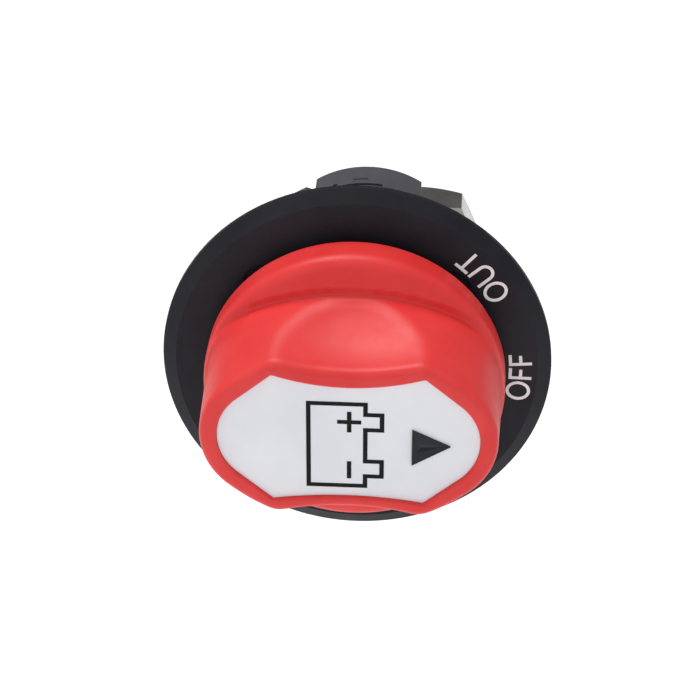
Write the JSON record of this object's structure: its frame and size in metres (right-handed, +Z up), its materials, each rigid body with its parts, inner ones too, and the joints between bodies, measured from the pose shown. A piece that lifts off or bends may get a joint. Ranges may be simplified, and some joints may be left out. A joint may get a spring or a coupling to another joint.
{
  "type": "battery switch",
  "caption": "Round panel-mount battery isolator: red pull-off rotary knob on a black face plate, with threaded stud terminals behind.",
  "frame": {"origin": "on the switch's axis at the panel face, the plane that the back of the face plate bears on", "axes": "+Y rearward through the panel towards the studs, +Z up the panel, +X towards the OFF mark; the knob faces -Y"},
  "size_m": [0.068, 0.0822, 0.068],
  "materials": {
    "red_plastic": "satin moulded",
    "black_plastic": "fine satin moulded",
    "dark_plastic": "moulded glass-filled",
    "white_label": "satin",
    "black_insert": "gloss",
    "nylon": "satin",
    "rubber": "matt",
    "stainless": "brushed",
    "spring_steel": "bright",
    "copper": "bare copper",
    "silver": "silver contact alloy",
    "nickel": "bright nickel plate",
    "tinned": "tin plated"
  },
  "bodies": {
    "base": {"face_plate": "black_plastic", "panel_gasket": "rubber", "housing": "dark_plastic", "keeper_plate": "stainless", "keeper_screws": "stainless", "terminal_block": "dark_plastic", "terminal_studs": "nickel", "terminal_seats": "tinned", "flat_washers": "nickel", "lock_washers": "nickel", "terminal_nuts": "nickel"},
    "rotor": {"rotor": "nylon", "rotor_seal": "rubber", "detent_balls": "stainless", "detent_springs": "spring_steel", "contact_bridge": "copper", "contact_tips": "silver", "bridge_springs": "spring_steel"},
    "knob": {"knob_shell": "red_plastic", "label_plate": "white_label", "pointer_arrow": "black_insert", "knob_stem": "nylon", "stem_screw": "stainless"}
  },
  "joints": [
    {"name": "knob_turn", "type": "hinge", "parent": "base", "child": "rotor", "pos_m": [0, 0, 0], "axis": [0, -1, 0], "range_deg": [-90, 45]},
    {"name": "knob_pull", "type": "slide", "parent": "rotor", "child": "knob", "axis": [0, -1, 0], "range_m": [0, 0.03]}
  ]
}
